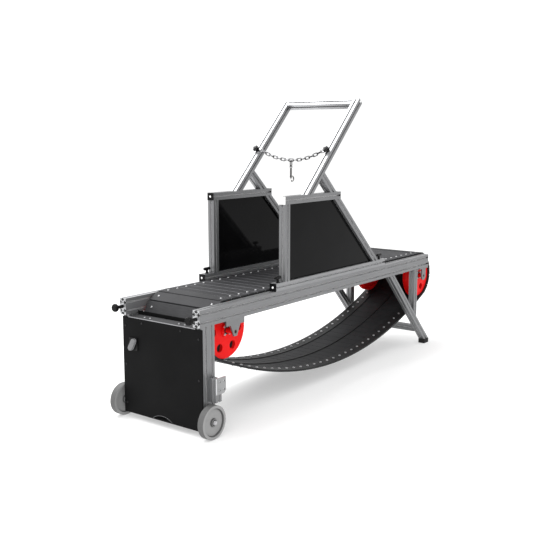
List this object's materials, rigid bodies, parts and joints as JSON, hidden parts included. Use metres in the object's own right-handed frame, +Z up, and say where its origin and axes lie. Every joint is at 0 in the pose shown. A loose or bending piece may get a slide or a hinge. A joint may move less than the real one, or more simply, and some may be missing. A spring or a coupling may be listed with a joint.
{
  "type": "dog treadmill",
  "caption": "Unpowered dog treadmill with a hanging belt of slats on a slotted-bar frame, a sliding guard with smoked panels, a leaning tether frame with a chain, and transport wheels.",
  "frame": {"origin": "on the floor, midway along the length and on the middle plane between the rails", "axes": "+X along the rails from the panel end to the rear, +Y to the far side, +Z up"},
  "size_m": [2.3324, 0.5952, 1.5047],
  "materials": {
    "bar_aluminium": "mill-finish extrusion",
    "plate_aluminium": "brushed plate",
    "panel_black": "satin black sheet",
    "bolt_steel": "zinc plated",
    "shaft_steel": "turned steel",
    "black_screw": "black oxide",
    "bush_bronze": "bronze",
    "foot_rubber": "matte rubber",
    "wheel_grey": "grey rubber",
    "slat_composite": "ribbed composite board",
    "belt_rubber": "reinforced rubber",
    "pulley_red": "red powder coat",
    "runner_white": "low-friction plastic",
    "smoked_sheet": "smoked sheet",
    "knob_black": "moulded plastic",
    "chain_zinc": "zinc plated",
    "hook_nickel": "nickel plated",
    "latch_grey": "grey moulding"
  },
  "bodies": {
    "frame": {"rail_near": "bar_aluminium", "rail_far": "bar_aluminium", "front_posts": "bar_aluminium", "front_ties": "bar_aluminium", "front_panel": "panel_black", "panel_screws": "black_screw", "front_shelf": "plate_aluminium", "latch_base": "knob_black", "deck_ties": "bar_aluminium", "deck_runners": "runner_white", "runner_brackets": "plate_aluminium", "front_hangers": "plate_aluminium", "rear_hangers": "plate_aluminium", "frame_bolts": "bolt_steel", "axle_bushes": "bush_bronze", "rear_legs": "bar_aluminium", "rear_struts": "bar_aluminium", "rear_tie": "bar_aluminium", "rear_feet": "foot_rubber", "wheel_stubs": "bar_aluminium", "stub_plates": "plate_aluminium", "wheel_axles": "bolt_steel", "wheel_spacers": "shaft_steel", "carrier_belts": "belt_rubber", "deck_slats": "slat_composite", "front_slats": "slat_composite", "hanging_slats": "slat_composite", "rear_slats": "slat_composite", "slat_bolts": "bolt_steel"},
    "front_drum": {"front_axle": "shaft_steel", "front_pulleys": "pulley_red", "front_hubs": "shaft_steel"},
    "rear_drum": {"rear_axle": "shaft_steel", "rear_pulleys": "pulley_red", "rear_hubs": "shaft_steel"},
    "near_wheel": {"wheel_near": "wheel_grey"},
    "far_wheel": {"wheel_far": "wheel_grey"},
    "guard": {"guard_lower_bars": "bar_aluminium", "guard_posts": "bar_aluminium", "guard_top_bars": "bar_aluminium", "guard_diagonals": "bar_aluminium", "guard_panels": "smoked_sheet", "guard_caps": "knob_black", "tether_uprights": "bar_aluminium", "tether_crossbar": "bar_aluminium", "tether_braces": "bar_aluminium", "slide_nuts": "bolt_steel"},
    "front_near_handle": {"handle_front_near": "knob_black"},
    "front_far_handle": {"handle_front_far": "knob_black"},
    "rear_near_handle": {"handle_rear_near": "knob_black"},
    "rear_far_handle": {"handle_rear_far": "knob_black"},
    "near_tension_knob": {"tension_knob_near": "knob_black"},
    "far_tension_knob": {"tension_knob_far": "knob_black"},
    "tether": {"tether_chain": "chain_zinc", "tether_eyes": "bolt_steel"},
    "near_star_knob": {"star_knob_near": "knob_black"},
    "far_star_knob": {"star_knob_far": "knob_black"},
    "hook": {"snap_hook": "hook_nickel"},
    "hook_bolt": {"hook_gate": "hook_nickel"},
    "latch": {"latch_lever": "latch_grey"}
  },
  "joints": [
    {"name": "front_spin", "type": "hinge", "parent": "frame", "child": "front_drum", "pos_m": [-0.8692, 0, 0.437], "axis": [0, 1, 0], "continuous": true},
    {"name": "rear_spin", "type": "hinge", "parent": "frame", "child": "rear_drum", "pos_m": [1.0198, 0, 0.437], "axis": [0, 1, 0], "continuous": true},
    {"name": "near_wheel_spin", "type": "hinge", "parent": "frame", "child": "near_wheel", "pos_m": [-1.07115, -0.2743, 0.0762], "axis": [0, 1, 0], "continuous": true},
    {"name": "far_wheel_spin", "type": "hinge", "parent": "frame", "child": "far_wheel", "pos_m": [-1.07115, 0.2743, 0.0762], "axis": [0, 1, 0], "continuous": true},
    {"name": "guard_slide", "type": "slide", "parent": "frame", "child": "guard", "axis": [1, 0, 0], "range_m": [-0.4, 0.45]},
    {"name": "front_near_handle_turn", "type": "hinge", "parent": "guard", "child": "front_near_handle", "pos_m": [-0.5262, -0.22595, 0.61], "axis": [0, 0, 1], "range_deg": [0, 360]},
    {"name": "front_far_handle_turn", "type": "hinge", "parent": "guard", "child": "front_far_handle", "pos_m": [-0.5262, 0.22595, 0.61], "axis": [0, 0, 1], "range_deg": [0, 360]},
    {"name": "rear_near_handle_turn", "type": "hinge", "parent": "guard", "child": "rear_near_handle", "pos_m": [0.44774, -0.22595, 0.61], "axis": [0, 0, 1], "range_deg": [0, 360]},
    {"name": "rear_far_handle_turn", "type": "hinge", "parent": "guard", "child": "rear_far_handle", "pos_m": [0.44774, 0.22595, 0.61], "axis": [0, 0, 1], "range_deg": [0, 360]},
    {"name": "near_tension_turn", "type": "hinge", "parent": "frame", "child": "near_tension_knob", "pos_m": [-1.1102, -0.22595, 0.5339], "axis": [1, 0, 0], "range_deg": [-360, 360]},
    {"name": "far_tension_turn", "type": "hinge", "parent": "frame", "child": "far_tension_knob", "pos_m": [-1.1102, 0.22595, 0.5339], "axis": [1, 0, 0], "range_deg": [-360, 360]},
    {"name": "tether_slide", "type": "slide", "parent": "guard", "child": "tether", "axis": [0.7071, 0, 0.7071], "range_m": [-0.18, 0.25]},
    {"name": "near_star_turn", "type": "hinge", "parent": "tether", "child": "near_star_knob", "pos_m": [-0.10292, -0.22595, 1.22822], "axis": [-0.7071, 0, 0.7071], "range_deg": [0, 360]},
    {"name": "far_star_turn", "type": "hinge", "parent": "tether", "child": "far_star_knob", "pos_m": [-0.10292, 0.22595, 1.22822], "axis": [-0.7071, 0, 0.7071], "range_deg": [0, 360]},
    {"name": "hook_swing", "type": "hinge", "parent": "tether", "child": "hook", "pos_m": [-0.10455, 0, 1.14837], "axis": [1, 0, 0], "range_deg": [-60, 60]},
    {"name": "hook_bolt_slide", "type": "slide", "parent": "hook", "child": "hook_bolt", "axis": [0, 0, 1], "range_m": [0, 0.008], "stiffness_N_per_m": 200, "springref_m": -0.004},
    {"name": "latch_turn", "type": "hinge", "parent": "frame", "child": "latch", "pos_m": [-1.0962, 0.183, 0.3448], "axis": [1, 0, 0], "range_deg": [0, 90]}
  ],
  "couplings": [
    {"joint": "rear_spin", "follows": "front_spin", "ratio": 1}
  ]
}
